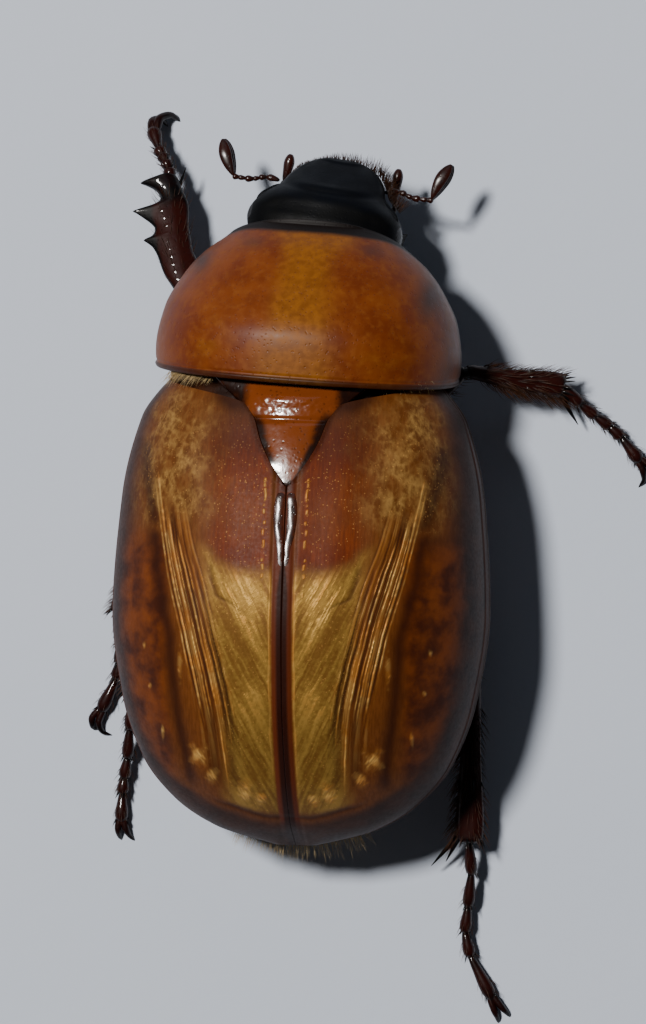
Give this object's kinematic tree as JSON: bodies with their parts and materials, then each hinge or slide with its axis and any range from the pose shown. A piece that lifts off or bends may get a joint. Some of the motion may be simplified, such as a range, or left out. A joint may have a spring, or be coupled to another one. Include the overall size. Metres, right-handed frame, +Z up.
{
  "type": "scarab beetle, cyclocephala sanguinicollis",
  "caption": "Still life-size beetle with black head, orange pronotum and golden-brown wing cases, standing on its claws with toothed digging forelegs",
  "frame": {"origin": "on the floor, under the middle of the box around the whole beetle", "axes": "-Y towards the head, +X to the beetle's own left, +Z up"},
  "size_m": [0.0168, 0.0268, 0.0086],
  "materials": {
    "head_black": "glossy black chitin with a blue-grey sheen",
    "eye_black": "glossy, finely faceted black",
    "pronotum_orange": "glossy orange-brown, finely punctured",
    "scutellum_amber": "glossy amber with dark edges",
    "elytra_gold": "glossy amber over golden pleats, smoky margins",
    "underside_brown": "satin red-brown with fine hairs",
    "legs_red_black": "glossy dark red to black with bristles"
  },
  "bodies": {
    "root": {"head": "head_black", "eye_left": "eye_black", "eye_right": "eye_black", "pronotum": "pronotum_orange", "scutellum": "scutellum_amber", "elytron_left": "elytra_gold", "elytron_right": "elytra_gold", "prosternum": "underside_brown", "thorax": "underside_brown", "abdomen": "underside_brown", "pygidium": "underside_brown", "labium": "legs_red_black", "mandible_left": "legs_red_black", "mandible_right": "legs_red_black", "palp_left": "legs_red_black", "palp_right": "legs_red_black", "antenna_left": "legs_red_black", "antenna_right": "legs_red_black", "antennal_club_left": "legs_red_black", "antennal_club_right": "legs_red_black", "coxa_fore_left": "legs_red_black", "coxa_fore_right": "legs_red_black", "coxa_mid_left": "legs_red_black", "coxa_mid_right": "legs_red_black", "coxa_hind_left": "legs_red_black", "coxa_hind_right": "legs_red_black", "femur_fore_left": "legs_red_black", "femur_fore_right": "legs_red_black", "femur_mid_left": "legs_red_black", "femur_mid_right": "legs_red_black", "femur_hind_left": "legs_red_black", "femur_hind_right": "legs_red_black", "tibia_fore_left": "legs_red_black", "tibia_fore_right": "legs_red_black", "tibia_mid_left": "legs_red_black", "tibia_mid_right": "legs_red_black", "tibia_hind_left": "legs_red_black", "tibia_hind_right": "legs_red_black", "tarsus_fore_left": "legs_red_black", "tarsus_fore_right": "legs_red_black", "tarsus_mid_left": "legs_red_black", "tarsus_mid_right": "legs_red_black", "tarsus_hind_left": "legs_red_black", "tarsus_hind_right": "legs_red_black"}
  },
  "joints": []
}
